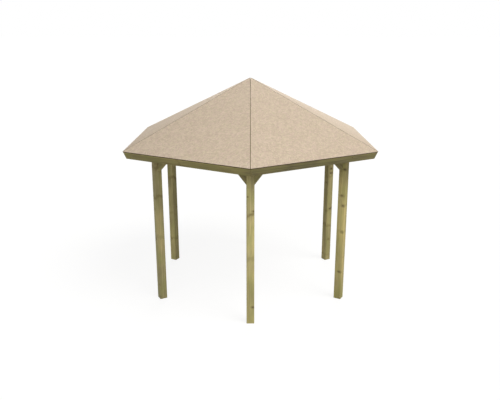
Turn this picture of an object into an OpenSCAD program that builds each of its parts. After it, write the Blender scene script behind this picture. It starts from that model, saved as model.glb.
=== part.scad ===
// Six-sided garden gazebo: square posts, top rails with knee braces, and a pitched roof of six panels.
// Origin on the ground under the middle of the roof, +Z up, one post straight ahead on -Y.

/* [Posts] */
// Width of the square posts
post_w = 95; // [70:1:120]
// Height of the posts
post_h = 2150; // [1950:10:2500]
// Distance from the middle of the gazebo to the middle of each post
post_ring = 1370; // [1200:5:1450]
// Radius that eases the long edges of posts, rails and braces
edge_r = 4; // [1:0.5:8]

/* [Rails and braces] */
// Height of the top rails
rail_h = 118; // [90:1:150]
// Thickness of the top rails
rail_t = 45; // [30:1:60]
// Width of the boards that the knee braces are cut from
brace_w = 118; // [80:1:140]
// Thickness of the knee braces
brace_t = 45; // [30:1:60]
// Length of a brace along the rail, and the same down the post
brace_leg = 266; // [220:1:450]

/* [Roof] */
// Distance from the middle to each roof corner
roof_r = 1800; // [1600:10:2000]
// Height of the roof from its corners to its top
roof_rise = 815; // [600:5:1100]
// Thickness of the roof boards
board_t = 12; // [9:1:22]
// Width of the open seam between two roof boards on a hip
hip_seam = 6; // [2:1:12]

/* [Eave boards and rafters] */
// Depth of the eave boards, down their outer face
eave_d = 90; // [60:1:140]
// Thickness of the eave boards
eave_t = 20; // [15:1:35]
// How far the roof boards reach past the eave boards
drip = 2; // [1:0.5:20]
// Depth of the rafters, square to the slope
rafter_d = 70; // [50:1:95]
// Thickness of each rafter
rafter_t = 35; // [25:1:42]
// Depth of the rafter seat at the outer face of a post
seat_cut = 20; // [10:1:30]

/* [Joints] */
// Gap left at every timber joint
fit = 0.3; // [0.1:0.1:0.8]

/* [Hidden] */
$fn = 32;
sides = 6;
turn = 360 / sides;
half_turn = turn / 2;
// Middle of the front post and of the side to the right of it, counted around from +X
first_corner = -90;
first_side = first_corner + half_turn;

// Middle plane of the rails
wall_apothem = post_ring * cos(half_turn);
// Half the length of a wall on that plane, between the side faces of its two posts
wall_half = post_ring * sin(half_turn) - (post_w / 2 + fit) / cos(half_turn);
rail_under = post_h - rail_h;

// Slope of the roof sides and of the hips
eave_apothem = roof_r * cos(half_turn);
roof_pitch = atan(roof_rise / eave_apothem);
hip_slope = roof_rise / roof_r;
slope_len = eave_apothem / cos(roof_pitch);

// Depths below the top of the roof, square to the slope
under_board = board_t + fit;
under_rafter = under_board + rafter_d;
// Tilt of the eave boards from plumb, at which their mitred ends are square to the hips
eave_tilt = atan(hip_slope * cos(half_turn));
// Depth of the eave boards' outer top edge below the edge of the roof, down their outer face
eave_top = (under_board - drip * sin(roof_pitch - eave_tilt)) / cos(roof_pitch - eave_tilt);
// Distance from the edge of the roof to the rafter tails, square to the eave boards
rafter_tail = drip + eave_t + fit;
// Distances from a hip plane to the two faces of a hip rafter
hip_near = fit / 2;
hip_far = hip_near + rafter_t;

// Height of the roof corners, set by the rafters that sit on the posts
seat_run = roof_r - post_ring - post_w / 2;
eave_z = post_h + fit - seat_cut - seat_run * hip_slope + under_rafter / cos(roof_pitch);
roof_top = eave_z + roof_rise;

corner_names = ["front", "front_right", "back_right", "back", "back_left", "front_left"];
side_names = ["front_right", "right", "back_right", "back_left", "left", "front_left"];

// Section of planed timber with eased edges, centred
module eased_section(w, d) {
    square([w - 2 * edge_r, d], center = true);
    square([w, d - 2 * edge_r], center = true);
    for (x = [-1, 1], y = [-1, 1])
        translate([x * (w / 2 - edge_r), y * (d / 2 - edge_r)])
            circle(edge_r);
}

// Planed bar along Y, centred
module bar(w, d, length) {
    rotate([90, 0, 0])
        linear_extrude(length, center = true)
            eased_section(w, d);
}

// Upright wedge around +X with its two faces parallel to the hips, each set in by the given clearance
module bay(clear) {
    tip = clear / sin(half_turn);
    reach = roof_r - tip;
    linear_extrude(roof_top)
        polygon([
            [tip, 0],
            [roof_r, -reach * tan(half_turn)],
            [roof_r, reach * tan(half_turn)]
        ]);
}

// Prism across the side at +X, turned to a slope about the edge of the roof. Start and end run inward
// from that edge along the slope, top and under are depths square to it.
module slope_bar(slope, start, end, top, under) {
    rotate([90, 0, 0])
        linear_extrude(2 * roof_r, center = true)
            translate([eave_apothem, eave_z])
                rotate(180 - slope)
                    translate([start, top])
                        square([end - start, under - top]);
}

// Rafter blank across the side at +X, with its tail cut to the back of the eave board
module rafter_blank() {
    intersection() {
        slope_bar(roof_pitch, 0, slope_len, under_board, under_rafter);
        slope_bar(eave_tilt, rafter_tail, slope_len, -slope_len, slope_len);
    }
}

// Post at +X, with one face straight outward
module post() {
    color("#aa9e6f")
        translate([post_ring, 0, 0])
            linear_extrude(post_h)
                eased_section(post_w, post_w);
}

// Top rail of the side at +X, flush with the post tops and bevelled to their side faces
module rail() {
    color("#a59e7b")
        intersection() {
            translate([wall_apothem, 0, rail_under + rail_h / 2])
                bar(rail_t, rail_h, post_ring);
            bay(post_w / 2 + fit);
        }
}

// Knee brace at the +Y end of the side at +X: plumb cut to the post, level cut to the rail
module brace() {
    brace_top = rail_under - fit;
    // The middle line of the board cuts post and rail at this distance from their corner
    mid_leg = brace_leg - brace_w / sqrt(2);
    // Long enough to be cut at both ends
    blank = 2 * brace_leg;
    color("#958c5d")
        intersection() {
            translate([wall_apothem, wall_half - mid_leg / 2, brace_top - mid_leg / 2])
                rotate([-45, 0, 0])
                    bar(brace_t, brace_w, blank);
            bay(post_w / 2 + fit);
            translate([0, 0, brace_top - blank])
                linear_extrude(blank)
                    square(2 * roof_r);
        }
}

module braces() {
    brace();
    mirror([0, 1, 0])
        brace();
}

// Rafter on the +Y side of the hip along +X, mitred at the top and seated on the post
module hip_rafter() {
    // The mitre lies on the middle plane of the roof side
    near_tip = (hip_near * cos(half_turn) + fit / 2) / sin(half_turn);
    far_tip = (hip_far * cos(half_turn) + fit / 2) / sin(half_turn);
    color("#9c9160")
        difference() {
            intersection() {
                rotate(half_turn)
                    rafter_blank();
                linear_extrude(roof_top)
                    polygon([
                        [near_tip, hip_near],
                        [roof_r, hip_near],
                        [roof_r, hip_far],
                        [far_tip, hip_far]
                    ]);
            }
            translate([post_ring - post_w / 2, 0, 0])
                cube([post_w + fit, post_w, post_h + fit]);
        }
}

module hip_rafters() {
    hip_rafter();
    mirror([0, 1, 0])
        hip_rafter();
}

// Rafter up the middle of the side at +X, with a double bevel at the top and a seat on the rail
module mid_rafter() {
    color("#9c9160")
        difference() {
            intersection() {
                rafter_blank();
                bay(hip_far + fit);
                translate([0, -rafter_t / 2, 0])
                    cube([roof_r, rafter_t, roof_top]);
            }
            translate([wall_apothem - rail_t / 2, -rafter_t, 0])
                cube([rail_t + fit, 2 * rafter_t, post_h + fit]);
        }
}

// Eave board of the side at +X, bevelled under the roof board and mitred on the hips
module eave_board() {
    color("#756d46")
        intersection() {
            slope_bar(eave_tilt, drip, drip + eave_t, 0, eave_top + eave_d);
            slope_bar(roof_pitch, -eave_d, slope_len, under_board, slope_len);
            bay(fit / 2);
        }
}

// Roof board of the side at +X
module roof_board() {
    color("#d0beaa")
        intersection() {
            slope_bar(roof_pitch, 0, slope_len, 0, board_t);
            bay(hip_seam / 2);
        }
}

for (i = [0 : sides - 1]) {
    corner = first_corner + turn * i;
    side = first_side + turn * i;
    rotate(corner) post();
    rotate(side) rail();
    rotate(side) braces();
    rotate(corner) hip_rafters();
    rotate(side) mid_rafter();
    rotate(side) eave_board();
    rotate(side) roof_board();
}
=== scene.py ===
"""Looks of a six-sided garden gazebo: planed, treated framing under a roof of beige boards."""

import logging
import math
import random
from collections.abc import Callable
from dataclasses import dataclass, field
from enum import Enum

import bpy
import numpy as np
from mathutils import Matrix, Vector


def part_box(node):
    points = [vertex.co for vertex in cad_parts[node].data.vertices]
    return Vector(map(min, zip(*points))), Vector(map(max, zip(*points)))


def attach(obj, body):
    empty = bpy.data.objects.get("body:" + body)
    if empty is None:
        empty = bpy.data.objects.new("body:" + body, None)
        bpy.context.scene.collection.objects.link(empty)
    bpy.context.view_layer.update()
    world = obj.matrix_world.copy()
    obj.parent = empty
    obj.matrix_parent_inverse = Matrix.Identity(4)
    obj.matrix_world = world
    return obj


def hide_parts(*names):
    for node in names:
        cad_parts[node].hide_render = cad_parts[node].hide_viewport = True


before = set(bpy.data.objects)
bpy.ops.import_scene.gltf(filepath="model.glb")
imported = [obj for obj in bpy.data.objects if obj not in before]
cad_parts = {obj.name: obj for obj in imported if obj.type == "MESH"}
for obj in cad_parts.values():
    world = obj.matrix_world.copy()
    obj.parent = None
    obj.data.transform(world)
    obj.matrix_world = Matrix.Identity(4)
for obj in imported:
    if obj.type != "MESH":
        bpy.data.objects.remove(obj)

REPORT = logging.getLogger("gazebo")
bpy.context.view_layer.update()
BODY = "root"
OUT = Vector((1.0, 0.0, 0.0))
ALONG = Vector((0.0, 1.0, 0.0))
UP = Vector((0.0, 0.0, 1.0))
HALF_BAY = 30.0
SQUARE = 90.0
HANDS = (1, -1)
TINY = 1e-6
NOISE_MIDDLE = 0.5

Colour = tuple[int, int, int]
ShaderColour = tuple[float, float, float, float]
Span = tuple[float, float]


class Corner(Enum):
    """Posts and hips by the direction that each faces, in degrees from +X."""

    FRONT = -90
    FRONT_RIGHT = -30
    BACK_RIGHT = 30
    BACK = 90
    BACK_LEFT = 150
    FRONT_LEFT = 210


class Side(Enum):
    """Walls and roof sides by the direction that each faces, in degrees from +X."""

    FRONT_RIGHT = -60
    RIGHT = 0
    BACK_RIGHT = 60
    BACK_LEFT = 120
    LEFT = 180
    FRONT_LEFT = 240


class Slot(Enum):
    """Material slots of the record."""

    TIMBER = "treated_timber"
    SHEET = "roof_board"


def level(degrees: float) -> Vector:
    """Level direction from the middle of the gazebo at an angle from +X."""
    return Vector((math.cos(math.radians(degrees)), math.sin(math.radians(degrees)), 0.0))


def placement(x: Vector, z: Vector, origin: Vector) -> Matrix:
    """A placement from two of its axes.

    Args:
        x: Direction of local X.
        z: Direction of local Z, square to x.
        origin: Place of the local origin.

    Returns:
        The matrix from local to world.
    """
    x, z = x.normalized(), z.normalized()
    turn = Matrix((x, z.cross(x), z)).transposed().to_4x4()
    return Matrix.Translation(origin) @ turn


@dataclass(frozen=True)
class Sizes:
    """Sizes of the gazebo in metres. Those that a node's box gives are read from the frame."""

    fit: float = 0.0003
    arris: float = 0.004
    brace_w: float = 0.118
    brace_leg: float = 0.266
    roof_rise: float = 0.815
    board_t: float = 0.012
    hip_seam: float = 0.006
    eave_d: float = 0.090
    eave_t: float = 0.020
    drip: float = 0.002
    rafter_d: float = 0.070
    rafter_t: float = 0.035

    @property
    def post_w(self) -> float:
        """Width of the square posts."""
        low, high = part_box("post_front")
        return high.x - low.x

    @property
    def post_h(self) -> float:
        """Height of the posts."""
        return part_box("post_front")[1].z

    @property
    def post_ring(self) -> float:
        """Distance from the middle to the middle of each post."""
        low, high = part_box("post_front")
        return -(low.y + high.y) / 2

    @property
    def rail_t(self) -> float:
        """Thickness of rails and braces."""
        low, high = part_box("rail_right")
        return high.x - low.x

    @property
    def rail_h(self) -> float:
        """Height of the rails."""
        low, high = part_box("rail_right")
        return high.z - low.z

    @property
    def wall_apothem(self) -> float:
        """Distance from the middle to the middle plane of the rails."""
        return self.post_ring * math.cos(math.radians(HALF_BAY))

    @property
    def wall_half(self) -> float:
        """Half the length of a wall on that plane, between the side faces of its posts."""
        half_bay = math.radians(HALF_BAY)
        return self.post_ring * math.sin(half_bay) - (self.post_w / 2 + self.fit) / math.cos(half_bay)

    @property
    def eave_apothem(self) -> float:
        """Distance from the middle to the edge of the roof boards."""
        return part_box("roof_board_right")[1].x

    @property
    def roof_r(self) -> float:
        """Distance from the middle to each roof corner."""
        return self.eave_apothem / math.cos(math.radians(HALF_BAY))

    @property
    def pitch(self) -> float:
        """Slope of the roof sides in radians."""
        return math.atan2(self.roof_rise, self.eave_apothem)

    @property
    def slope_len(self) -> float:
        """Length of a roof side from the eave to the top."""
        return self.eave_apothem / math.cos(self.pitch)

    @property
    def eave_z(self) -> float:
        """Height of the top edge of the roof boards at the eave."""
        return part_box("roof_board_right")[0].z + self.board_t * math.cos(self.pitch)

    @property
    def under_board(self) -> float:
        """Depth of the rafter tops below the roof's face."""
        return self.board_t + self.fit

    @property
    def eave_tilt(self) -> float:
        """Tilt of the eave boards from plumb in radians, with their mitres square to the hips."""
        return math.atan2(self.roof_rise * math.cos(math.radians(HALF_BAY)), self.roof_r)

    @property
    def eave_top(self) -> float:
        """Depth of the eave boards' outer top edge below the roof's edge, down their outer face."""
        lean = self.pitch - self.eave_tilt
        return (self.under_board - self.drip * math.sin(lean)) / math.cos(lean)

    @property
    def rafter_tail(self) -> float:
        """Distance from the roof's edge to the rafter tails, square to the eave boards."""
        return self.drip + self.eave_t + self.fit

    @property
    def hip_near(self) -> float:
        """Distance from a hip plane to the near face of a hip rafter."""
        return self.fit / 2

    @property
    def hip_far(self) -> float:
        """Distance from a hip plane to the far face of a hip rafter."""
        return self.hip_near + self.rafter_t


SIZES = Sizes()


class Bench:
    """Modelling moves that every piece shares."""

    ROUND_STEPS = 4
    EASE_STEPS = 2
    SHARP_FROM = math.radians(40.0)
    SMOOTH_BELOW = math.radians(30.0)

    @staticmethod
    def select_only(piece: bpy.types.Object) -> None:
        """Make one object the only selected and active one.

        Args:
            piece: Object to select.
        """
        bpy.ops.object.select_all(action="DESELECT")
        piece.select_set(True)
        bpy.context.view_layer.objects.active = piece

    @staticmethod
    def name(piece: bpy.types.Object, name: str) -> None:
        """Name an object and its mesh."""
        piece.name = name
        piece.data.name = name

    @classmethod
    def block(cls, name: str, length: float, width: float, depth: float) -> bpy.types.Object:
        """Add a block about the origin.

        Args:
            name: Name of the new object.
            length: Size along X.
            width: Size along Y.
            depth: Size along Z.

        Returns:
            The new object.
        """
        bpy.ops.object.select_all(action="DESELECT")
        bpy.ops.mesh.primitive_cube_add(size=1.0)
        piece = bpy.context.object
        cls.name(piece, name)
        bpy.ops.object.mode_set(mode="EDIT")
        bpy.ops.mesh.select_all(action="SELECT")
        bpy.ops.transform.resize(value=(length, width, depth))
        bpy.ops.object.mode_set(mode="OBJECT")
        return piece

    @classmethod
    def pick_edges(cls, piece: bpy.types.Object, test: Callable[[Vector, Vector], bool]) -> None:
        """Enter edit mode with the edges selected that pass a test.

        Args:
            piece: Object to select on.
            test: Takes the two ends of an edge and says whether it is picked.
        """
        cls.select_only(piece)
        bpy.ops.object.mode_set(mode="EDIT")
        bpy.ops.mesh.select_mode(type="EDGE")
        bpy.ops.mesh.select_all(action="DESELECT")
        bpy.ops.object.mode_set(mode="OBJECT")
        points = piece.data.vertices
        for edge in piece.data.edges:
            edge.select = test(points[edge.vertices[0]].co, points[edge.vertices[1]].co)
        bpy.ops.object.mode_set(mode="EDIT")

    @classmethod
    def ease_long_edges(cls, piece: bpy.types.Object, radius: float) -> None:
        """Round the four edges that run along X, as a planer leaves them.

        Args:
            piece: Block about the origin.
            radius: Radius of the edges.
        """
        cls.pick_edges(piece, lambda a, b: abs(a.y - b.y) < TINY and abs(a.z - b.z) < TINY)
        bpy.ops.mesh.bevel(offset=radius, segments=cls.ROUND_STEPS, profile=0.5, affect="EDGES")
        bpy.ops.object.mode_set(mode="OBJECT")

    @classmethod
    def place(cls, piece: bpy.types.Object, where: Matrix) -> None:
        """Carry a piece to its place and keep that place in its mesh.

        Args:
            piece: Object to move.
            where: Its placement.
        """
        cls.select_only(piece)
        piece.matrix_world = where
        bpy.ops.object.transform_apply(location=True, rotation=True, scale=True)

    @classmethod
    def saw(cls, piece: bpy.types.Object, point: Vector, waste: Vector) -> None:
        """Saw through a piece and close the cut.

        Args:
            piece: Object to cut.
            point: A point on the cut.
            waste: Normal of the cut, towards the side that falls off.
        """
        cls.select_only(piece)
        bpy.ops.object.mode_set(mode="EDIT")
        bpy.ops.mesh.select_all(action="SELECT")
        bpy.ops.mesh.bisect(
            plane_co=point,
            plane_no=waste,
            use_fill=True,
            clear_inner=False,
            clear_outer=True,
            threshold=TINY,
        )
        bpy.ops.object.mode_set(mode="OBJECT")

    @classmethod
    def notch(cls, piece: bpy.types.Object, cutter: bpy.types.Object) -> None:
        """Cut the space of one block out of a piece and remove the block.

        Args:
            piece: Object to cut.
            cutter: Block to cut out.
        """
        cls.select_only(piece)
        cut = piece.modifiers.new("notch", "BOOLEAN")
        cut.operation = "DIFFERENCE"
        cut.solver = "EXACT"
        cut.object = cutter
        bpy.ops.object.modifier_apply(modifier=cut.name)
        bpy.data.objects.remove(cutter)

    @classmethod
    def soften(cls, piece: bpy.types.Object, radius: float) -> None:
        """Take the sharpness off the sawn edges and shade the piece.

        Args:
            piece: Object to finish.
            radius: Width of the eased edge.
        """
        cls.select_only(piece)
        ease = piece.modifiers.new("ease", "BEVEL")
        ease.width = radius
        ease.segments = cls.EASE_STEPS
        ease.limit_method = "ANGLE"
        ease.angle_limit = cls.SHARP_FROM
        bpy.ops.object.modifier_apply(modifier=ease.name)
        bpy.ops.object.mode_set(mode="EDIT")
        bpy.ops.mesh.select_all(action="SELECT")
        bpy.ops.mesh.remove_doubles(threshold=TINY)
        bpy.ops.mesh.normals_make_consistent(inside=False)
        bpy.ops.object.mode_set(mode="OBJECT")
        bpy.ops.object.shade_smooth_by_angle(angle=cls.SMOOTH_BELOW)

    @classmethod
    def join(cls, pieces: list[bpy.types.Object]) -> bpy.types.Object:
        """Join pieces into the first of them.

        Args:
            pieces: Objects to join.

        Returns:
            The joined object.
        """
        cls.select_only(pieces[0])
        for piece in pieces[1:]:
            piece.select_set(True)
        bpy.ops.object.join()
        return pieces[0]

    @classmethod
    def turned_copy(cls, piece: bpy.types.Object, name: str, degrees: float) -> bpy.types.Object:
        """Copy a piece with its own mesh and turn the copy about the middle of the gazebo.

        Args:
            piece: Piece that faces +X.
            name: Name of the copy.
            degrees: Angle to turn by.

        Returns:
            The copy.
        """
        cls.select_only(piece)
        bpy.ops.object.duplicate(linked=False)
        copy = bpy.context.object
        cls.name(copy, name)
        cls.place(copy, Matrix.Rotation(math.radians(degrees), 4, "Z"))
        return copy


def stamp(mesh: bpy.types.Mesh, name: str, kind: str, domain: str, values: np.ndarray) -> None:
    """Write one attribute on a mesh.

    Args:
        mesh: Mesh to write on.
        name: Name of the attribute.
        kind: Type of the attribute, FLOAT or FLOAT_VECTOR.
        domain: Where it lives, POINT or FACE.
        values: One row for each point or face.
    """
    layer = mesh.attributes.new(name, kind, domain)
    key = "vector" if kind == "FLOAT_VECTOR" else "value"
    layer.data.foreach_set(key, np.asarray(values, np.float32).ravel())


def local_points(mesh: bpy.types.Mesh, where: Matrix) -> np.ndarray:
    """Points of a mesh in the axes of a placement.

    Args:
        mesh: Mesh to read.
        where: The placement.

    Returns:
        One row for each point.
    """
    inverse = np.array(where.inverted())
    points = np.array([vertex.co for vertex in mesh.vertices])
    return points @ inverse[:3, :3].T + inverse[:3, 3]


def local_normals(mesh: bpy.types.Mesh, where: Matrix) -> np.ndarray:
    """Face normals of a mesh in the axes of a placement."""
    normals = np.array([face.normal for face in mesh.polygons])
    return normals @ np.array(where)[:3, :3]


# Slant to the grain at which a face begins to count as sawn end, and at which it fully does
END_FROM = 0.2
END_FULL = 0.5


def stamp_bar(piece: bpy.types.Object, where: Matrix, size: Vector, bar: int = 0) -> None:
    """Write what the timber finish reads of a bar: place in it, half size, sawn ends and number.

    Args:
        piece: Finished bar.
        where: Placement of the bar with X along the grain.
        size: Length, width and depth of the bar before it was sawn.
        bar: Number of the bar in its piece.
    """
    mesh = piece.data
    count = len(mesh.vertices)
    stamp(mesh, "timber_place", "FLOAT_VECTOR", "POINT", local_points(mesh, where))
    stamp(mesh, "timber_half", "FLOAT_VECTOR", "POINT", np.tile(np.array(size) / 2, (count, 1)))
    stamp(mesh, "timber_bar", "FLOAT", "POINT", np.full(count, bar))
    lengthwise = np.abs(local_normals(mesh, where)[:, 0])
    ends = np.clip((lengthwise - END_FROM) / (END_FULL - END_FROM), 0.0, 1.0)
    stamp(mesh, "timber_end", "FLOAT", "FACE", ends)


@dataclass
class Sawmill:
    """Draws for each bar where in its tree it was sawn, and how dark that tree was."""

    seed: int = 756
    tone_spread: float = 2.0
    tint_spread: float = 0.5
    log_length: float = 90.0
    draws: random.Random = field(init=False)

    def __post_init__(self) -> None:
        """Start the row of draws."""
        self.draws = random.Random(self.seed)

    def heart(self, pith: float) -> tuple[float, float, float]:
        """Start of a bar in its log, and the way from its middle to the heart of the tree.

        Args:
            pith: Distance from the middle of the bar to the heart.

        Returns:
            Place along the log, and two steps across it.
        """
        angle = self.draws.uniform(0.0, 2.0 * math.pi)
        start = self.draws.uniform(0.0, self.log_length)
        return start, pith * math.cos(angle), pith * math.sin(angle)

    def spread(self, most: float) -> float:
        """A step up or down, at most as large as given."""
        return self.draws.uniform(-most, most)

    def draw(self, piece: bpy.types.Object, pith: float, tint: float, tone: float) -> None:
        """Give each bar of a piece its own log, tone and tint.

        Args:
            piece: Piece with stamped bars.
            pith: Distance from the middle of a bar to the heart of the tree.
            tint: Tint of this kind of timber, from -1 for grey to 1 for olive.
            tone: Tone of this kind of timber, below 0 for darker timber; on the eave boards its low
                value is painted shade.
        """
        mesh = piece.data
        bars = np.zeros(len(mesh.vertices), np.float32)
        mesh.attributes["timber_bar"].data.foreach_get("value", bars)
        bars = bars.astype(int)
        count = bars.max() + 1
        hearts = np.array([self.heart(pith) for _ in range(count)])
        tones = np.array([tone + self.spread(self.tone_spread) for _ in range(count)])
        tints = np.array([tint + self.spread(self.tint_spread) for _ in range(count)])
        stamp(mesh, "timber_log", "FLOAT_VECTOR", "POINT", hearts[bars])
        stamp(mesh, "timber_tone", "FLOAT", "POINT", tones[bars])
        stamp(mesh, "timber_tint", "FLOAT", "POINT", tints[bars])


class Wire:
    """An output of a shader node. Python operators on it add Math nodes."""

    def __init__(self, graph: "ShaderGraph", socket: bpy.types.NodeSocket) -> None:
        """Wrap a socket of a graph."""
        self.graph = graph
        self.socket = socket

    def __add__(self, other: "Number") -> "Wire":
        """Sum."""
        return self.graph.math("ADD", self, other)

    def __radd__(self, other: "Number") -> "Wire":
        """Sum, reflected."""
        return self.graph.math("ADD", other, self)

    def __sub__(self, other: "Number") -> "Wire":
        """Difference."""
        return self.graph.math("SUBTRACT", self, other)

    def __rsub__(self, other: "Number") -> "Wire":
        """Difference, reflected."""
        return self.graph.math("SUBTRACT", other, self)

    def __mul__(self, other: "Number") -> "Wire":
        """Product."""
        return self.graph.math("MULTIPLY", self, other)

    def __rmul__(self, other: "Number") -> "Wire":
        """Product, reflected."""
        return self.graph.math("MULTIPLY", other, self)

    def __truediv__(self, other: "Number") -> "Wire":
        """Quotient."""
        return self.graph.math("DIVIDE", self, other)

    def __rtruediv__(self, other: "Number") -> "Wire":
        """Quotient, reflected."""
        return self.graph.math("DIVIDE", other, self)

    def __abs__(self) -> "Wire":
        """Size without sign."""
        return self.graph.math("ABSOLUTE", self)


Number = float | Wire


class ShaderGraph:
    """A node tree whose nodes are added by expressions."""

    def __init__(self, owner: bpy.types.Material | bpy.types.World) -> None:
        """Empty the node tree of a material or world.

        Args:
            owner: The material or world.
        """
        owner.use_nodes = True
        self.tree = owner.node_tree
        self.tree.nodes.clear()

    def feed(self, socket: bpy.types.NodeSocket, value: object) -> None:
        """Link a wire to a socket, or set a plain value on it.

        Args:
            socket: Input of a node.
            value: Wire, number or colour.
        """
        if isinstance(value, Wire):
            self.tree.links.new(value.socket, socket)
        else:
            socket.default_value = value

    def node(
        self,
        kind: str,
        settings: dict[str, object],
        inputs: dict[str | int, object],
        out: str | int = 0,
    ) -> Wire | None:
        """Add any node.

        Args:
            kind: Type of the node without its ShaderNode prefix.
            settings: Properties of the node, set first.
            inputs: Values or wires of its sockets, by name or number.
            out: Output to return.

        Returns:
            That output as a wire, or nothing where the node has none.
        """
        made = self.tree.nodes.new("ShaderNode" + kind)
        for name, value in settings.items():
            setattr(made, name, value)
        for key, value in inputs.items():
            self.feed(made.inputs[key], value)
        return Wire(self, made.outputs[out]) if made.outputs else None

    def other(self, wire: Wire, name: str | int) -> Wire:
        """Another output of the node that a wire comes from."""
        return Wire(self, wire.socket.node.outputs[name])

    def math(self, operation: str, *values: Number) -> Wire:
        """A Math node on values or wires."""
        return self.node("Math", {"operation": operation}, dict(enumerate(values)))

    def attribute(self, name: str, out: str) -> Wire:
        """An attribute of the piece's own mesh."""
        return self.node("Attribute", {"attribute_name": name}, {}, out)

    def split(self, vector: Wire) -> tuple[Wire, Wire, Wire]:
        """The three numbers of a vector or colour."""
        x = self.node("SeparateXYZ", {}, {0: vector})
        return x, self.other(x, 1), self.other(x, 2)

    def vector(self, x: Number, y: Number, z: Number) -> Wire:
        """A vector from three numbers."""
        return self.node("CombineXYZ", {}, {0: x, 1: y, 2: z})

    def noise(self, place: Wire, detail: float = 2.0) -> Wire:
        """Smooth noise around 0.5, with features about one unit apart."""
        return self.node("TexNoise", {}, {"Vector": place, "Scale": 1.0, "Detail": detail})

    def cells(self, dimensions: str, place: Wire) -> tuple[Wire, Wire]:
        """Distance to the nearest of the points strewn over a space, and that point's own colour.

        Args:
            dimensions: 1D for points along a line, 2D or 3D.
            place: Place on the line or in the space.

        Returns:
            The distance, and a colour that is random from point to point.
        """
        socket = "W" if dimensions == "1D" else "Vector"
        inputs = {socket: place, "Scale": 1.0}
        distance = self.node("TexVoronoi", {"voronoi_dimensions": dimensions}, inputs)
        return distance, self.other(distance, "Color")

    def ramp(self, value: Wire, low: Number, high: Number) -> Wire:
        """A smooth step from 0 at low to 1 at high."""
        limits = {"Value": value, "From Min": low, "From Max": high}
        return self.node("MapRange", {"interpolation_type": "SMOOTHSTEP"}, limits)

    def mix(self, amount: Number, first: object, second: object, mode: str = "MIX") -> Wire:
        """Blend two colours.

        Args:
            amount: Share of the second colour.
            first: Colour below.
            second: Colour above.
            mode: Way of blending.

        Returns:
            The blended colour.
        """
        settings = {"data_type": "RGBA", "blend_type": mode}
        return self.node("Mix", settings, {0: amount, 6: first, 7: second}, 2)

    def seen(self) -> Wire:
        """Tell what the camera sees from light that bounces.

        Returns:
            1 for rays from the camera, by mirrors and through glass, and 0 for others.
        """
        camera = self.node("LightPath", {}, {}, "Is Camera Ray")
        mirrored = self.other(camera, "Is Glossy Ray")
        through_glass = self.other(camera, "Is Transmission Ray")
        return self.math("MINIMUM", camera + mirrored + through_glass, 1.0)

    def surface(self, colour: Wire, roughness: Wire, relief: Wire, depth: float) -> None:
        """Close the tree with one surface.

        Args:
            colour: Base colour.
            roughness: Roughness.
            relief: Height of the surface, in shares of the depth.
            depth: Height of the relief in metres.
        """
        normal = self.node("Bump", {}, {"Strength": 1.0, "Distance": depth, "Height": relief})
        inputs = {"Base Color": colour, "Roughness": roughness, "Normal": normal}
        shader = self.node("BsdfPrincipled", {}, inputs)
        self.node("OutputMaterial", {}, {"Surface": shader})


def linear(colour: Colour) -> ShaderColour:
    """A screen colour from 0 to 255 as the linear colour that shaders take.

    Args:
        colour: Red, green and blue.

    Returns:
        The colour with full alpha.
    """
    parts = [c / 255.0 for c in colour]
    parts = [c / 12.92 if c <= 0.04045 else ((c + 0.055) / 1.055) ** 2.4 for c in parts]
    return parts[0], parts[1], parts[2], 1.0


def plain_grey(value: float) -> ShaderColour:
    """A grey from 0 to 1 as the linear colour that shaders take."""
    return value, value, value, 1.0


WHITE = plain_grey(1.0)


@dataclass(frozen=True)
class LogPlace:
    """Where a point of a bar lay in its tree: along the heart, and two ways across from it."""

    along: Wire
    across: Wire
    through: Wire
    radius: Wire


@dataclass(frozen=True)
class Grain:
    """Noise drawn out along a bar, with so many features to a metre along and across.

    The weight says how strongly it lightens and darkens the wood.
    """

    along: float
    across: float
    weight: float = 0.0
    detail: float = 2.0
    shift: float = 0.0

    def swing(self, g: ShaderGraph, log: LogPlace) -> Wire:
        """The noise around 0.

        Args:
            g: Graph to add to.
            log: Place in the log.

        Returns:
            The noise at that place.
        """
        through = log.through * self.across
        if self.shift:
            through = through + self.shift
        stretched = g.vector(log.along * self.along, log.across * self.across, through)
        return g.noise(stretched, self.detail) - NOISE_MIDDLE


@dataclass(frozen=True)
class Patch:
    """A tone that comes in, up to a share, as a noise goes over a span."""

    tone: Colour
    rise: Span
    share: float

    def over(self, g: ShaderGraph, below: Wire, noise: Wire) -> Wire:
        """Lay the tone over the colour below."""
        return g.mix(g.ramp(noise, *self.rise) * self.share, below, linear(self.tone))


@dataclass(frozen=True)
class Figure:
    """The noises of the grain at a place in a log, each around 0."""

    streak: Wire
    vein: Wire
    fibre: Wire
    blotch: Wire
    drift: Wire


@dataclass(frozen=True)
class Knots:
    """Knots on the face of a bar, each wire from 0 to 1."""

    core: Wire
    halo: Wire
    bark: Wire
    rings: Wire
    depth: Wire


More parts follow.
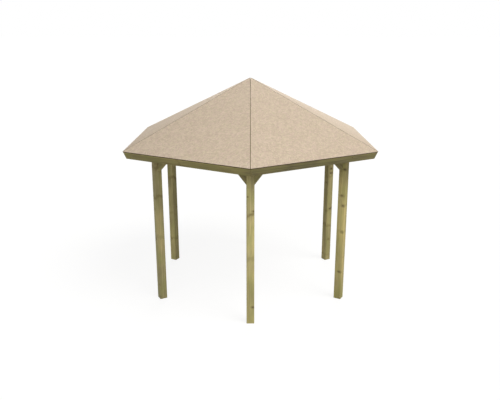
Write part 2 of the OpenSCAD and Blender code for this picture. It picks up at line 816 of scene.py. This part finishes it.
@dataclass(frozen=True)
class TreatedTimber:
    """Planed softwood, green from its treatment, with rings about its heart and whorls of knots."""

    name: str = "treated_timber"
    # Colours of the wood, and the tints that it is multiplied by
    early: Colour = (206, 191, 146)
    late: Colour = (172, 155, 106)
    green: Patch = Patch((158, 154, 100), (-0.1, 0.18), 0.6)
    tan: Patch = Patch((206, 184, 138), (-0.02, 0.22), 0.5)
    halo: Colour = (134, 119, 70)
    knot: Colour = (90, 73, 38)
    bark: Colour = (52, 41, 22)
    # arris: olive laid along the long edges as painted shade of the rounded arrises
    arris: Colour = (148, 138, 76)
    sawn: Colour = (184, 170, 126)
    grey: Colour = (246, 251, 255)
    olive: Colour = (250, 250, 214)
    # Most that each colour takes over
    late_share: float = 0.6
    band_share: float = 0.7
    halo_share: float = 0.6
    core_share: float = 0.6
    core_depth: float = 0.35
    core_rings: float = 0.2
    bark_share: float = 0.7
    edge_shade_share: float = 0.25
    arris_shade_share: float = 0.2
    check_share: float = 0.3
    sawn_share: float = 0.7
    # Light and dark for one step of a bar's tone, and the part of the grain that stays in dark bars
    tone_step: float = 0.06
    grain_kept: float = 0.4
    # Noises
    streak: Grain = Grain(0.5, 38.0, 0.5, detail=3.0)
    vein: Grain = Grain(0.8, 110.0, 0.5)
    fibre: Grain = Grain(6.0, 420.0, 0.16)
    blotch: Grain = Grain(4.5, 13.0, 0.9)
    drift: Grain = Grain(1.7, 6.0, 1.2, shift=5.0)
    sway: Grain = Grain(1.1, 5.0)
    bulge: Grain = Grain(9.0, 16.0)
    check: Grain = Grain(9.0, 260.0)
    check_rise: Span = (0.12, 0.22)
    # Growth rings
    ring_w: float = 0.0055
    ring_sway: float = 0.02
    ring_bend: float = 0.006
    ring_swell: float = 0.012
    late_rise: Span = (0.3, 0.9)
    late_fall: Span = (1.0, 0.93)
    # Knots, with their reaches in radii of a knot
    knot_step: float = 0.07
    knot_ring: float = 0.75
    knot_least: float = 0.07
    knot_growth: float = 0.16
    knot_rings: float = 3.5
    core_reach: float = 0.7
    halo_reach: float = 2.6
    bark_reach: tuple[float, float, float] = (0.6, 0.9, 1.1)
    stray_share: float = 0.12
    # Whorls of branches, and the dark bands at them
    whorl_step: float = 0.42
    whorl_half: float = 0.06
    whorl_share: float = 0.75
    band_reach: Span = (0.04, 0.0)
    band_dark: Span = (0.4, 0.85)
    band_slant: float = 0.2
    band_sway: float = 0.16
    # Painted shade along the long edges: broad and patchy, and narrow on the rounded arris
    edge_shade_reach: Span = (0.016, 0.002)
    edge_shade_rise: Span = (-0.2, 0.2)
    edge_shade_sway: float = 0.1
    arris_shade_reach: Span = (0.006, 0.001)
    arris_shade_sway: float = 0.004
    # Gloss, and relief with its depth in metres
    rough: float = 0.72
    fibre_rough: float = 0.12
    knot_gloss: float = 0.15
    late_height: float = 0.35
    fibre_height: float = 0.35
    knot_height: float = 0.15
    check_depth: float = 0.3
    relief: float = 0.0006

    def log_place(self, g: ShaderGraph, place: tuple[Wire, Wire, Wire]) -> LogPlace:
        """Carry a place in the bar over to its log.

        Args:
            g: Graph to add to.
            place: Place along, across and through the bar.

        Returns:
            The place in the log.
        """
        heart = g.split(g.attribute("timber_log", "Vector"))
        along, across, through = (here + to_heart for here, to_heart in zip(place, heart))
        radius = g.math("SQRT", across * across + through * through + TINY)
        return LogPlace(along, across, through, radius)

    def figure(self, g: ShaderGraph, log: LogPlace) -> Figure:
        """The noises of the grain at a place in the log."""
        grains = (self.streak, self.vein, self.fibre, self.blotch, self.drift)
        return Figure(*(grain.swing(g, log) for grain in grains))

    def whorl(self, g: ShaderGraph, along: Wire) -> tuple[Wire, Wire]:
        """Where the branches of the tree grew.

        Args:
            g: Graph to add to.
            along: Place along the log.

        Returns:
            Distance along the log to the nearest whorl of branches, and how dark it is from 0 to 1.
        """
        distance, colour = g.cells("1D", along / self.whorl_step)
        dark, _, _ = g.split(colour)
        return distance * self.whorl_step, dark

    def knots(self, g: ShaderGraph, log: LogPlace) -> Knots:
        """Knots where branches come to the face, most of them in whorls.

        Args:
            g: Graph to add to.
            log: Place in the log.

        Returns:
            The knots.
        """
        around = self.knot_ring / log.radius
        branch = g.vector(log.along / self.knot_step, log.across * around, log.through * around)
        distance, cell = g.cells("3D", branch)
        keep, size, depth = g.split(cell)
        centre, _, _ = g.split(g.other(distance, "Position"))
        from_whorl, _ = self.whorl(g, centre * self.knot_step)
        in_whorl = g.math("LESS_THAN", from_whorl, self.whorl_half)
        grown = in_whorl * g.math("LESS_THAN", keep, self.whorl_share)
        present = g.math("MAXIMUM", grown, g.math("LESS_THAN", keep, self.stray_share))
        rim = self.knot_least + self.knot_growth * size
        core = g.ramp(distance, rim, rim * self.core_reach)
        halo = g.ramp(distance, rim * self.halo_reach, rim)
        inner, middle, outer = (rim * reach for reach in self.bark_reach)
        bark = g.ramp(distance, outer, middle) * g.ramp(distance, inner, middle)
        rings = g.math("PINGPONG", distance / rim * self.knot_rings, 1.0)
        return Knots(core * present, halo * present, bark * present, rings, depth)

    def band(self, g: ShaderGraph, log: LogPlace, bulge: Wire) -> Wire:
        """Dark bands across the bar at the heavier whorls.

        Args:
            g: Graph to add to.
            log: Place in the log.
            bulge: Bulge of the grain, around 0.

        Returns:
            Depth of the band from 0 to 1.
        """
        slanted = log.along + log.across * self.band_slant + bulge * self.band_sway
        near, dark = self.whorl(g, slanted)
        return g.ramp(near, *self.band_reach) * g.ramp(dark, *self.band_dark)

    def late_wood(self, g: ShaderGraph, log: LogPlace, halo: Wire, swell: Wire) -> Wire:
        """Dark lines of the growth rings, bent round knots and bands.

        Args:
            g: Graph to add to.
            log: Place in the log.
            halo: Grain around the knots, from 0 to 1.
            swell: Bulge of the grain in the bands, around 0.

        Returns:
            Share of late wood from 0 to 1.
        """
        swayed = log.radius + self.sway.swing(g, log) * self.ring_sway
        bent = swayed + halo * halo * self.ring_bend + swell * self.ring_swell
        phase = g.math("FRACT", bent / self.ring_w)
        return g.ramp(phase, *self.late_rise) * g.ramp(phase, *self.late_fall)

    def shading(self, figure: Figure) -> Wire:
        """Light and dark of all the noises together, around 0.

        Args:
            figure: Noises of the grain.

        Returns:
            The sum of the noises by their weights.
        """
        grain = self.streak.weight * figure.streak + self.vein.weight * figure.vein
        mottle = self.blotch.weight * figure.blotch + self.drift.weight * figure.drift
        return grain + self.fibre.weight * figure.fibre + mottle

    def clear_wood(self, g: ShaderGraph, late: Wire, figure: Figure) -> Wire:
        """Colour of the wood between the knots, in the tone and tint of its bar.

        Args:
            g: Graph to add to.
            late: Share of late wood.
            figure: Noises of the grain.

        Returns:
            The colour.
        """
        tone = 1.0 + self.tone_step * g.attribute("timber_tone", "Fac")
        tint = g.attribute("timber_tint", "Fac")
        colour = g.mix(late * self.late_share, linear(self.early), linear(self.late))
        colour = self.green.over(g, colour, figure.blotch)
        colour = self.tan.over(g, colour, figure.drift)
        liveliness = self.grain_kept + (1.0 - self.grain_kept) * tone
        shade = tone + self.shading(figure) * liveliness
        colour = g.mix(1.0, colour, shade, "MULTIPLY")
        tinted = g.mix(0.5 + 0.5 * tint, linear(self.grey), linear(self.olive))
        return g.mix(1.0, colour, tinted, "MULTIPLY")

    def knotted(self, g: ShaderGraph, clear: Wire, band: Wire, knots: Knots) -> Wire:
        """Lay bands and knots over the clear wood.

        Args:
            g: Graph to add to.
            clear: Colour of the clear wood.
            band: Depth of the bands.
            knots: The knots.

        Returns:
            The colour.
        """
        colour = g.mix(band * self.band_share, clear, linear(self.halo))
        colour = g.mix(knots.halo * self.halo_share, colour, linear(self.halo))
        heart = self.core_share + self.core_depth * knots.depth - self.core_rings * knots.rings
        colour = g.mix(knots.core * heart, colour, linear(self.knot))
        return g.mix(knots.bark * knots.depth * self.bark_share, colour, linear(self.bark))

    def shade_edges_checks_ends(self, g: ShaderGraph, fresh: Wire, from_arris: Wire, figure: Figure, check: Wire) -> Wire:
        """Painted shade along the long edges, fine checks and darker sawn ends.

        Args:
            g: Graph to add to.
            fresh: Colour of the wood.
            from_arris: Distance from the nearest long edge.
            figure: Noises of the grain.
            check: Depth of the checks.

        Returns:
            The colour.
        """
        # Painted shade along the long edges, darkest on the rounded arris
        near = g.ramp(from_arris + figure.streak * self.edge_shade_sway, *self.edge_shade_reach)
        edge_shade = near * g.ramp(figure.drift, *self.edge_shade_rise)
        arris_shade = g.ramp(from_arris + figure.fibre * self.arris_shade_sway, *self.arris_shade_reach)
        colour = g.mix(edge_shade * self.edge_shade_share + arris_shade * self.arris_shade_share, fresh, linear(self.arris))
        colour = g.mix(check * self.check_share, colour, linear(self.knot))
        end = g.attribute("timber_end", "Fac")
        return g.mix(end * self.sawn_share, colour, linear(self.sawn), "MULTIPLY")

    def material(self) -> bpy.types.Material:
        """Build the material.

        Returns:
            The material.
        """
        material = bpy.data.materials.new(self.name)
        g = ShaderGraph(material)
        x, y, z = g.split(g.attribute("timber_place", "Vector"))
        _, half_y, half_z = g.split(g.attribute("timber_half", "Vector"))
        from_arris = (half_y - abs(y)) + (half_z - abs(z))
        log = self.log_place(g, (x, y, z))
        figure = self.figure(g, log)
        knots = self.knots(g, log)
        bulge = self.bulge.swing(g, log)
        band = self.band(g, log, bulge)
        late = self.late_wood(g, log, knots.halo, band * bulge)
        check = g.ramp(self.check.swing(g, log), *self.check_rise)
        colour = self.knotted(g, self.clear_wood(g, late, figure), band, knots)
        colour = self.shade_edges_checks_ends(g, colour, from_arris, figure, check)
        roughness = self.rough + self.fibre_rough * figure.fibre - self.knot_gloss * knots.core
        grain = late * self.late_height + figure.fibre * self.fibre_height
        height = grain + knots.core * self.knot_height - check * self.check_depth
        g.surface(colour, roughness, height, self.relief)
        return material


@dataclass(frozen=True)
class RoofSheet:
    """Beige board of pressed chips, with darkened cut edges: their own brown plus a painted shadow
    line.
    """

    name: str = "roof_sheet"
    pale: Colour = (229, 214, 198)
    dark: Colour = (195, 178, 160)
    # edge: the cut edges' own brown, darkened further as a painted shadow line under the sheet's edge
    edge: Colour = (90, 78, 60)
    rosy: Colour = (255, 247, 246)
    straw: Colour = (252, 252, 238)
    # Chips: size, bend, grain and rim darkening, which is painted shade between chips, and the
    # directions of their layers in degrees
    chip_long: float = 0.032
    chip_wide: float = 0.013
    chip_bend: float = 0.5
    chip_grain: float = 0.7
    chip_rim_shade: float = 0.25
    chip_rim_shade_reach: Span = (0.45, 0.75)
    grain_long: float = 1.2
    grain_cross: float = 9.0
    lies: tuple[float, ...] = (20.0, 65.0, 110.0, 155.0)
    cover_soft: float = 0.05
    # Features of the noises to a metre
    bends: float = 25.0
    grits: float = 240.0
    mottles: float = 5.0
    mottle_shift: float = 3.0
    fine: float = 3.0
    # How strongly each lightens and darkens the sheet
    chip_weight: float = 0.6
    grit_weight: float = 0.6
    mottle_weight: float = 0.2
    # Gloss, and relief with its depth in metres
    rough: float = 0.82
    grit_rough: float = 0.1
    chip_height: float = 0.6
    grit_height: float = 0.4
    relief: float = 0.0004

    def chips(self, g: ShaderGraph, up: Wire, along: Wire, lie: float) -> tuple[Wire, Wire, Wire]:
        """One layer of chips.

        Args:
            g: Graph to add to.
            up: Place up the slope.
            along: Place along the eave.
            lie: Direction of the chips in degrees.

        Returns:
            Shade of the chips from 0 to 1, and two random numbers from 0 to 1 for each chip.
        """
        cosine, sine = math.cos(math.radians(lie)), math.sin(math.radians(lie))
        bent = g.noise(g.vector(up * self.bends, along * self.bends, lie)) * self.chip_bend
        long_way = (up * cosine + along * sine) / self.chip_long + bent
        cross_way = (along * cosine - up * sine) / self.chip_wide + bent
        distance, colour = g.cells("2D", g.vector(long_way, cross_way, 0.0))
        shade, number, hue = g.split(colour)
        down_chip = long_way * self.grain_long + number * self.grain_cross
        grain = g.noise(g.vector(down_chip, cross_way * self.grain_cross, lie)) - NOISE_MIDDLE
        # Darker towards each chip's rim: painted shade in the gaps between chips.
        rim = g.ramp(distance, *self.chip_rim_shade_reach)
        return shade + grain * self.chip_grain - rim * self.chip_rim_shade, number, hue

    def layers(self, g: ShaderGraph, up: Wire, along: Wire) -> tuple[Wire, Wire]:
        """Layers of chips, each over a share of those below so that all show alike.

        Args:
            g: Graph to add to.
            up: Place up the slope.
            along: Place along the eave.

        Returns:
            Shade and hue of the chip on top, from 0 to 1.
        """
        shade, _, hue = self.chips(g, up, along, self.lies[0])
        for below, lie in enumerate(self.lies[1:], start=1):
            shade_above, cover, hue_above = self.chips(g, up, along, lie)
            bare = below / (below + 1.0)
            on_top = g.ramp(cover, bare - self.cover_soft, bare + self.cover_soft)
            shade = shade * (1.0 - on_top) + shade_above * on_top
            hue = hue * (1.0 - on_top) + hue_above * on_top
        return shade, hue

    def material(self) -> bpy.types.Material:
        """Build the material.

        Returns:
            The material.
        """
        material = bpy.data.materials.new(self.name)
        g = ShaderGraph(material)
        up, along, _ = g.split(g.attribute("sheet_place", "Vector"))
        edge = g.attribute("sheet_edge", "Fac")
        chips, hue = self.layers(g, up, along)
        grit_place = g.vector(up * self.grits, along * self.grits, 0.0)
        grit = g.noise(grit_place, self.fine) - NOISE_MIDDLE
        mottle_place = g.vector(up * self.mottles, along * self.mottles, self.mottle_shift)
        mottle = g.noise(mottle_place, self.fine) - NOISE_MIDDLE
        amount = NOISE_MIDDLE + self.chip_weight * (chips - NOISE_MIDDLE)
        amount = amount + self.grit_weight * grit + self.mottle_weight * mottle
        colour = g.mix(amount, linear(self.dark), linear(self.pale))
        colour = g.mix(1.0, colour, g.mix(hue, linear(self.rosy), linear(self.straw)), "MULTIPLY")
        # Cut edges darkened: their own brown plus a painted shadow line along the eave
        colour = g.mix(edge, colour, linear(self.edge), "MULTIPLY")
        height = chips * self.chip_height + grit * self.grit_height
        g.surface(colour, self.rough + self.grit_rough * grit, height, self.relief)
        return material


def hand_over(piece: bpy.types.Object, node: str, finish: bpy.types.Material) -> None:
    """Dress a piece, let it stand for its node and report it.

    Args:
        piece: Finished mesh.
        node: Node of the frame that it replaces.
        finish: Material of the piece.
    """
    piece.data.materials.clear()
    piece.data.materials.append(finish)
    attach(piece, BODY)
    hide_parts(node)
    REPORT.info("%s stands for %s with %d faces", piece.name, node, len(piece.data.polygons))


@dataclass
class TimberWork:
    """Timber that repeats around the gazebo: one piece is modelled facing +X, and copies are turned."""

    finish: bpy.types.Material
    mill: Sawmill
    ease: float = 0.0012
    pith: float = 0.05
    tint: float = 0.0
    tone: float = 0.0

    def repeat(self, model: bpy.types.Object, kind: str, places: type[Enum]) -> None:
        """Copy a model to every place and dress the copies.

        Args:
            model: Finished piece that faces +X. It is removed at the end.
            kind: First part of the names of the nodes.
            places: Directions to copy it to.
        """
        for place in places:
            node = f"{kind}_{place.name.lower()}"
            piece = Bench.turned_copy(model, f"{node}_timber", place.value)
            self.mill.draw(piece, self.pith, self.tint, self.tone)
            hand_over(piece, node, self.finish)
        bpy.data.objects.remove(model)


@dataclass
class Posts(TimberWork):
    """Six square posts, each with one face straight outward."""

    pith: float = 0.022
    tint: float = 0.3
    tone: float = -0.6

    def build(self) -> None:
        """Model and dress the posts."""
        s = SIZES
        where = placement(UP, OUT, OUT * s.post_ring + UP * (s.post_h / 2))
        post = Bench.block("post", s.post_h, s.post_w, s.post_w)
        Bench.ease_long_edges(post, s.arris)
        Bench.place(post, where)
        Bench.soften(post, self.ease)
        stamp_bar(post, where, Vector((s.post_h, s.post_w, s.post_w)))
        self.repeat(post, "post", Corner)


def off_side(hand: int) -> Vector:
    """Level direction off the side at +X, square to the hip at its +Y end for 1 or the other for -1."""
    return level(hand * (HALF_BAY + SQUARE))


def saw_to_post(piece: bpy.types.Object, hand: int) -> None:
    """Saw a rail or brace of the wall at +X to the side face of one of its posts.

    Args:
        piece: Timber in its place.
        hand: 1 for the post on the +Y side and -1 for the other.
    """
    s = SIZES
    waste = off_side(hand)
    Bench.saw(piece, level(hand * HALF_BAY) * s.post_ring - waste * (s.post_w / 2 + s.fit), waste)


@dataclass
class TopRails(TimberWork):
    """Rails between the post tops, bevelled to the posts."""

    pith: float = 0.06
    tint: float = -0.7
    tone: float = 0.3

    def build(self) -> None:
        """Model and dress the rails."""
        s = SIZES
        where = placement(ALONG, OUT, OUT * s.wall_apothem + UP * (s.post_h - s.rail_h / 2))
        rail = Bench.block("rail", s.post_ring, s.rail_h, s.rail_t)
        Bench.ease_long_edges(rail, s.arris)
        Bench.place(rail, where)
        for hand in HANDS:
            saw_to_post(rail, hand)
        Bench.soften(rail, self.ease)
        stamp_bar(rail, where, Vector((s.post_ring, s.rail_h, s.rail_t)))
        self.repeat(rail, "rail", Side)


@dataclass
class KneeBraces(TimberWork):
    """Two braces in each wall, sawn plumb to the post and level to the rail."""

    pith: float = 0.055
    tint: float = 0.3
    tone: float = -4.7

    def brace(self, hand: int) -> bpy.types.Object:
        """Model one brace of the wall at +X.

        Args:
            hand: 1 for the +Y end of the wall and -1 for the other.

        Returns:
            The brace in its place.
        """
        s = SIZES
        top = s.post_h - s.rail_h - s.fit
        middle_leg = s.brace_leg - s.brace_w / math.sqrt(2.0)
        away = ALONG * hand
        beside = away * (s.wall_half - middle_leg / 2)
        middle = OUT * s.wall_apothem + beside + UP * (top - middle_leg / 2)
        where = placement(UP - away, OUT, middle)
        size = Vector((2 * s.brace_leg, s.brace_w, s.rail_t))
        brace = Bench.block("brace", *size)
        Bench.ease_long_edges(brace, s.arris)
        Bench.place(brace, where)
        saw_to_post(brace, hand)
        Bench.saw(brace, UP * top, UP)
        Bench.soften(brace, self.ease)
        stamp_bar(brace, where, size, HANDS.index(hand))
        return brace

    def build(self) -> None:
        """Model and dress the braces, a pair for each wall."""
        pair = Bench.join([self.brace(hand) for hand in HANDS])
        self.repeat(pair, "braces", Side)


def on_slope(side: float, slope: float, inward: float, depth: float) -> Matrix:
    """Placement on a slope through the edge of a roof side: X up the slope, Z square to it.

    Args:
        side: Direction of the roof side in degrees from +X.
        slope: Slope in radians.
        inward: Distance of the origin up the slope from the edge.
        depth: Depth of the origin below the slope.

    Returns:
        The placement.
    """
    s = SIZES
    out = level(side)
    up = UP * math.sin(slope) - out * math.cos(slope)
    normal = UP * math.cos(slope) + out * math.sin(slope)
    edge = out * s.eave_apothem + UP * s.eave_z
    return placement(up, normal, edge + up * inward - normal * depth)


def saw_on_hips(piece: bpy.types.Object, clear: float) -> None:
    """Saw a piece of the roof side at +X along both hips.

    Args:
        piece: Piece in its place.
        clear: Distance kept from each hip.
    """
    for hand in HANDS:
        waste = off_side(hand)
        Bench.saw(piece, waste * -clear, waste)


@dataclass
class Rafters(TimberWork):
    """Hip rafters in pairs back to back, and one rafter up the middle of each roof side."""

    ease: float = 0.002
    seat_reach: float = 3.0

    def blank(self, name: str, side: float, width: float) -> bpy.types.Object:
        """A block as deep as the rafters, with its tail sawn to the back of the eave board.

        Args:
            name: Name of the new object.
            side: Direction of the roof side in degrees from +X.
            width: Size along the eave.

        Returns:
            The block in its place.
        """
        s = SIZES
        blank = Bench.block(name, s.slope_len, width, s.rafter_d)
        Bench.place(blank, on_slope(side, s.pitch, s.slope_len / 2, s.under_board + s.rafter_d / 2))
        tail = on_slope(side, s.eave_tilt, s.rafter_tail, 0.0)
        Bench.saw(blank, tail.translation, -tail.col[0].to_3d())
        return blank

    def seat(self, rafter: bpy.types.Object, distance: float, width: float) -> None:
        """Cut the level seat and plumb heel that sit on the post or rail at +X.

        Args:
            rafter: Rafter in its place.
            distance: Distance from the middle of the gazebo to the middle of the post or rail.
            width: Thickness of that post or rail.
        """
        s = SIZES
        height = s.post_h + s.fit
        cutter = Bench.block("seat", width + s.fit, self.seat_reach * s.post_w, height)
        Bench.place(cutter, Matrix.Translation(OUT * (distance + s.fit / 2) + UP * (height / 2)))
        Bench.notch(rafter, cutter)

    def hip_rafter(self, hand: int) -> bpy.types.Object:
        """Model one rafter of the hip at +X.

        Args:
            hand: 1 for the roof side towards +Y and -1 for the other.

        Returns:
            The rafter in its place.
        """
        s = SIZES
        side = hand * HALF_BAY
        off = ALONG * hand
        rafter = self.blank("hip_rafter", side, 2 * s.roof_r)
        Bench.saw(rafter, off * s.hip_near, -off)
        Bench.saw(rafter, off * s.hip_far, off)
        across = level(side + SQUARE) * hand
        Bench.saw(rafter, across * (-s.fit / 2), across)
        self.seat(rafter, s.post_ring, s.post_w)
        Bench.soften(rafter, self.ease)
        hip = UP * s.roof_rise - OUT * s.roof_r
        upright = UP * s.roof_r + OUT * s.roof_rise
        top = OUT * (s.roof_r / 2) + UP * (s.eave_z + s.roof_rise / 2 - s.under_board)
        where = placement(hip, upright, top + off * (s.rafter_t / 2) - UP * (s.rafter_d / 2))
        stamp_bar(rafter, where, Vector((s.roof_r, s.rafter_t, s.rafter_d)), HANDS.index(hand))
        return rafter

    def mid_rafter(self) -> bpy.types.Object:
        """Model the rafter up the middle of the roof side at +X.

        Returns:
            The rafter in its place.
        """
        s = SIZES
        rafter = self.blank("mid_rafter", 0.0, s.rafter_t)
        saw_on_hips(rafter, s.hip_far + s.fit)
        self.seat(rafter, s.wall_apothem, s.rail_t)
        Bench.soften(rafter, self.ease)
        where = on_slope(0.0, s.pitch, s.slope_len / 2, s.under_board + s.rafter_d / 2)
        stamp_bar(rafter, where, Vector((s.slope_len, s.rafter_t, s.rafter_d)))
        return rafter

    def build(self) -> None:
        """Model and dress the rafters."""
        pair = Bench.join([self.hip_rafter(hand) for hand in HANDS])
        self.repeat(pair, "hip_rafters", Corner)
        self.repeat(self.mid_rafter(), "mid_rafter", Side)


@dataclass
class EaveBoards(TimberWork):
    """Boards along the eaves, bevelled under the roof boards and mitred on the hips."""

    ease: float = 0.0015
    pith: float = 0.07
    tint: float = 0.7
    # The low tone darkens the eave boards as painted shade of their downward-tilted outer faces.
    tone: float = -7.5

    def build(self) -> None:
        """Model and dress the eave boards."""
        s = SIZES
        middle = on_slope(0.0, s.eave_tilt, s.drip + s.eave_t / 2, s.eave_top + s.eave_d / 2)
        where = placement(ALONG, -middle.col[0].to_3d(), middle.translation)
        size = Vector((2 * s.roof_r, s.eave_d, s.eave_t))
        board = Bench.block("eave_board", size.x, s.eave_d + 2 * s.eave_top, s.eave_t)
        Bench.place(board, where)
        foot = on_slope(0.0, s.eave_tilt, 0.0, s.eave_top + s.eave_d)
        Bench.saw(board, foot.translation, -foot.col[2].to_3d())
        head = on_slope(0.0, s.pitch, 0.0, s.under_board)
        Bench.saw(board, head.translation, head.col[2].to_3d())
        saw_on_hips(board, s.fit / 2)
        Bench.soften(board, self.ease)
        stamp_bar(board, where, size)
        self.repeat(board, "eave_board", Side)


@dataclass
class RoofBoards:
    """One sheet on each roof side, with an open seam on the hips."""

    finish: bpy.types.Material
    ease: float = 0.001
    face_from: float = 0.9
    apart: tuple[float, float, float] = (7.0, 3.0, 0.0)

    def build(self) -> None:
        """Model and dress the roof boards."""
        s = SIZES
        where = on_slope(0.0, s.pitch, s.slope_len / 2, s.board_t / 2)
        sheet = Bench.block("roof_board", s.slope_len, 2 * s.roof_r, s.board_t)
        Bench.place(sheet, where)
        saw_on_hips(sheet, s.hip_seam / 2)
        Bench.soften(sheet, self.ease)
        places = local_points(sheet.data, where)
        facing = np.abs(local_normals(sheet.data, where)[:, 2])
        stamp(sheet.data, "sheet_edge", "FLOAT", "FACE", np.where(facing < self.face_from, 1.0, 0.0))
        for number, side in enumerate(Side):
            node = f"roof_board_{side.name.lower()}"
            piece = Bench.turned_copy(sheet, f"{node}_sheet", side.value)
            moved = places + number * np.array(self.apart)
            stamp(piece.data, "sheet_place", "FLOAT_VECTOR", "POINT", moved)
            hand_over(piece, node, self.finish)
        bpy.data.objects.remove(sheet)


@dataclass(frozen=True)
class Lamp:
    """A soft, far lamp. Its direction points from the gazebo to the lamp."""

    name: str
    direction: tuple[float, float, float]
    strength: float
    spread: float
    tint: tuple[float, float, float]

    def hang(self) -> None:
        """Add the lamp to the scene."""
        light = bpy.data.lights.new(self.name, "SUN")
        light.energy = self.strength
        light.angle = math.radians(self.spread)
        light.color = self.tint
        lamp = bpy.data.objects.new(self.name, light)
        bpy.context.scene.collection.objects.link(lamp)
        lamp.rotation_euler = Vector(self.direction).to_track_quat("Z", "Y").to_euler()


@dataclass
class Studio:
    """Pale floor, soft light and the camera."""

    camera_distance: float = 7.847
    camera_height: float = 3.502
    camera_pitch: float = 16.57
    lens_mm: float = 41.82
    sensor_mm: float = 36.0
    shift: float = -0.0008
    floor_size: float = 400.0
    floor_pale: float = 0.95
    floor_bounce: float = 0.315
    floor_glow: float = 1.07
    glow_share: float = 0.8
    world_light: float = 0.25
    lamps: tuple[Lamp, ...] = (
        Lamp("key", (0.52, -0.36, 0.77), 1.72, 40.0, (1.0, 0.985, 0.93)),
        Lamp("fill", (-0.15, -0.94, 0.32), 1.1, 60.0, (0.97, 0.985, 1.0)),
        Lamp("back", (0.1, 0.965, 0.24), 1.4, 40.0, (1.0, 0.985, 0.95)),
    )

    def floor(self) -> None:
        """Lay a floor that is white to the camera but for the gazebo's shadow."""
        bpy.ops.object.select_all(action="DESELECT")
        bpy.ops.mesh.primitive_plane_add(size=self.floor_size)
        floor = bpy.context.object
        Bench.name(floor, "studio_floor")
        material = bpy.data.materials.new("studio_floor")
        g = ShaderGraph(material)
        pale = g.node("BsdfDiffuse", {}, {"Color": plain_grey(self.floor_pale)})
        glow = g.node("Emission", {}, {"Color": WHITE, "Strength": self.floor_glow})
        white = g.node("MixShader", {}, {0: self.glow_share, 1: pale, 2: glow})
        dull = g.node("BsdfDiffuse", {}, {"Color": plain_grey(self.floor_bounce)})
        shader = g.node("MixShader", {}, {0: g.seen(), 1: dull, 2: white})
        g.node("OutputMaterial", {}, {"Surface": shader})
        floor.data.materials.append(material)

    def world(self) -> None:
        """Surround the gazebo with even light, white to the camera."""
        world = bpy.data.worlds.new("studio")
        bpy.context.scene.world = world
        g = ShaderGraph(world)
        strength = self.world_light + (1.0 - self.world_light) * g.seen()
        sky = g.node("Background", {}, {"Color": WHITE, "Strength": strength})
        g.node("OutputWorld", {}, {"Surface": sky})

    def camera(self) -> None:
        """Set the camera straight in front of the front post, above the eaves and looking down."""
        data = bpy.data.cameras.new("camera")
        data.lens = self.lens_mm
        data.sensor_width = self.sensor_mm
        data.shift_x = self.shift
        camera = bpy.data.objects.new("camera", data)
        bpy.context.scene.collection.objects.link(camera)
        camera.location = (0.0, -self.camera_distance, self.camera_height)
        camera.rotation_euler = (math.radians(SQUARE - self.camera_pitch), 0.0, 0.0)
        bpy.context.scene.camera = camera

    def build(self) -> None:
        """Set up the studio."""
        self.floor()
        self.world()
        for lamp in self.lamps:
            lamp.hang()
        self.camera()
        bpy.context.scene.view_settings.view_transform = "Standard"


def main() -> None:
    """Build the gazebo and its studio in order."""
    logging.basicConfig(level=logging.INFO, format="%(name)s: %(message)s")
    timber = TreatedTimber().material()
    sheet = RoofSheet().material()
    mill = Sawmill()
    for work in (Posts, TopRails, KneeBraces, Rafters, EaveBoards):
        work(timber, mill).build()
    RoofBoards(sheet).build()
    Studio().build()


if __name__ == "__main__":
    main()
